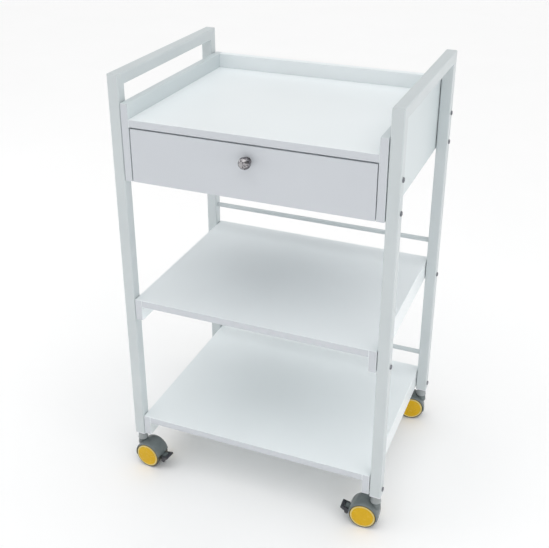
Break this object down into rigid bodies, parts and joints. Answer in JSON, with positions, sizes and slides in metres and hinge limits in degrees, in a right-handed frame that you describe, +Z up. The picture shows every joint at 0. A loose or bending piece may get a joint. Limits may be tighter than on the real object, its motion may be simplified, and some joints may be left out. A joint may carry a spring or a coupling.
{
  "type": "rolling salon trolley",
  "caption": "White three-level salon trolley on swivel casters, with a lipped tray top, a drawer under it, open shelves and side rails as handles.",
  "frame": {"origin": "bottom centre of the bounding box, on the floor under the wheels", "axes": "+Z up; the drawer opens towards -Y; +X to the right seen from the front"},
  "size_m": [0.4918, 0.4026, 0.77],
  "materials": {
    "white_steel": "white powder coat, satin",
    "white_board": "white painted board, satin",
    "runner_steel": "zinc plated",
    "drawer_board": "white laminated board, matt",
    "bolt_steel": "dark zinc plated",
    "washer_nylon": "natural nylon",
    "insert_brass": "turned",
    "dowel_wood": "fluted beech",
    "cam_zinc": "zinc die cast",
    "dark_chrome": "dark chrome, facet cut",
    "white_plastic": "moulded",
    "stem_steel": "zinc plated",
    "grey_hood": "moulded, fine texture",
    "wheel_tread": "dark tread",
    "amber_cap": "amber yellow, glossy",
    "black_pedal": "moulded, fine texture"
  },
  "bodies": {
    "frame": {"post_front_left": "white_steel", "post_rear_left": "white_steel", "handle_rail_left": "white_steel", "side_panel_left": "white_board", "middle_shelf_apron_left": "white_board", "lower_shelf_apron_left": "white_board", "runner_cabinet_left": "runner_steel", "post_front_right": "white_steel", "post_rear_right": "white_steel", "handle_rail_right": "white_steel", "side_panel_right": "white_board", "middle_shelf_apron_right": "white_board", "lower_shelf_apron_right": "white_board", "runner_cabinet_right": "runner_steel", "middle_shelf_board": "white_board", "middle_rear_bar": "white_steel", "lower_shelf_board": "white_board", "lower_rear_bar": "white_steel", "tray_board": "white_board", "back_panel": "white_board", "frame_bolts": "bolt_steel", "spacer_washers": "washer_nylon", "insert_nuts": "insert_brass", "board_dowels": "dowel_wood", "cam_bolts": "cam_zinc", "cam_locks": "cam_zinc", "runner_cabinet_screws": "runner_steel", "post_foot_plugs": "white_plastic", "caster_stems": "stem_steel"},
    "drawer": {"runner_drawer_left": "runner_steel", "drawer_side_left": "drawer_board", "runner_drawer_right": "runner_steel", "drawer_side_right": "drawer_board", "runner_drawer_screws": "runner_steel", "drawer_front": "white_board", "drawer_back": "drawer_board", "drawer_bottom": "drawer_board", "drawer_dowels": "dowel_wood", "drawer_knob": "dark_chrome", "drawer_knob_screw": "runner_steel"},
    "runner_slides": {"runner_middle_left": "runner_steel", "runner_middle_right": "runner_steel"},
    "caster_front_left": {"caster_body_front_left": "grey_hood"},
    "wheels_front_left": {"caster_axle_front_left": "stem_steel", "caster_wheels_front_left": "wheel_tread", "hub_caps_front_left": "amber_cap"},
    "brake_front_left": {"brake_pedal_front_left": "black_pedal"},
    "caster_front_right": {"caster_body_front_right": "grey_hood"},
    "wheels_front_right": {"caster_axle_front_right": "stem_steel", "caster_wheels_front_right": "wheel_tread", "hub_caps_front_right": "amber_cap"},
    "brake_front_right": {"brake_pedal_front_right": "black_pedal"},
    "caster_rear_left": {"caster_body_rear_left": "grey_hood"},
    "wheels_rear_left": {"caster_axle_rear_left": "stem_steel", "caster_wheels_rear_left": "wheel_tread", "hub_caps_rear_left": "amber_cap"},
    "caster_rear_right": {"caster_body_rear_right": "grey_hood"},
    "wheels_rear_right": {"caster_axle_rear_right": "stem_steel", "caster_wheels_rear_right": "wheel_tread", "hub_caps_rear_right": "amber_cap"}
  },
  "joints": [
    {"name": "drawer_slide", "type": "slide", "parent": "frame", "child": "drawer", "axis": [0, -1, 0], "range_m": [0, 0.24]},
    {"name": "runner_slide", "type": "slide", "parent": "frame", "child": "runner_slides", "axis": [0, -1, 0], "range_m": [0, 0.12]},
    {"name": "swivel_front_left", "type": "hinge", "parent": "frame", "child": "caster_front_left", "pos_m": [-0.23045, -0.17228, 0.0657], "axis": [0, 0, 1], "continuous": true},
    {"name": "wheel_spin_front_left", "type": "hinge", "parent": "caster_front_left", "child": "wheels_front_left", "pos_m": [-0.21155, -0.17426, 0.025], "axis": [0.1045, 0.9945, 0], "continuous": true},
    {"name": "brake_press_front_left", "type": "hinge", "parent": "caster_front_left", "child": "brake_front_left", "pos_m": [-0.18022, -0.17756, 0.024], "axis": [0.1045, 0.9945, 0], "range_deg": [0, 28]},
    {"name": "swivel_front_right", "type": "hinge", "parent": "frame", "child": "caster_front_right", "pos_m": [0.23355, -0.17228, 0.0657], "axis": [0, 0, 1], "continuous": true},
    {"name": "wheel_spin_front_right", "type": "hinge", "parent": "caster_front_right", "child": "wheels_front_right", "pos_m": [0.21458, -0.17327, 0.025], "axis": [0.0523, -0.9986, 0], "continuous": true},
    {"name": "brake_press_front_right", "type": "hinge", "parent": "caster_front_right", "child": "brake_front_right", "pos_m": [0.18312, -0.17492, 0.024], "axis": [0.0523, -0.9986, 0], "range_deg": [0, 28]},
    {"name": "swivel_rear_left", "type": "hinge", "parent": "frame", "child": "caster_rear_left", "pos_m": [-0.23045, 0.16372, 0.0657], "axis": [0, 0, 1], "continuous": true},
    {"name": "wheel_spin_rear_left", "type": "hinge", "parent": "caster_rear_left", "child": "wheels_rear_left", "pos_m": [-0.21399, 0.17322, 0.025], "axis": [-0.5, 0.866, 0], "continuous": true},
    {"name": "swivel_rear_right", "type": "hinge", "parent": "frame", "child": "caster_rear_right", "pos_m": [0.23355, 0.16372, 0.0657], "axis": [0, 0, 1], "continuous": true},
    {"name": "wheel_spin_rear_right", "type": "hinge", "parent": "caster_rear_right", "child": "wheels_rear_right", "pos_m": [0.21504, 0.15945, 0.025], "axis": [0.225, -0.9744, 0], "continuous": true}
  ],
  "couplings": [
    {"joint": "runner_slide", "follows": "drawer_slide", "ratio": 0.5}
  ]
}
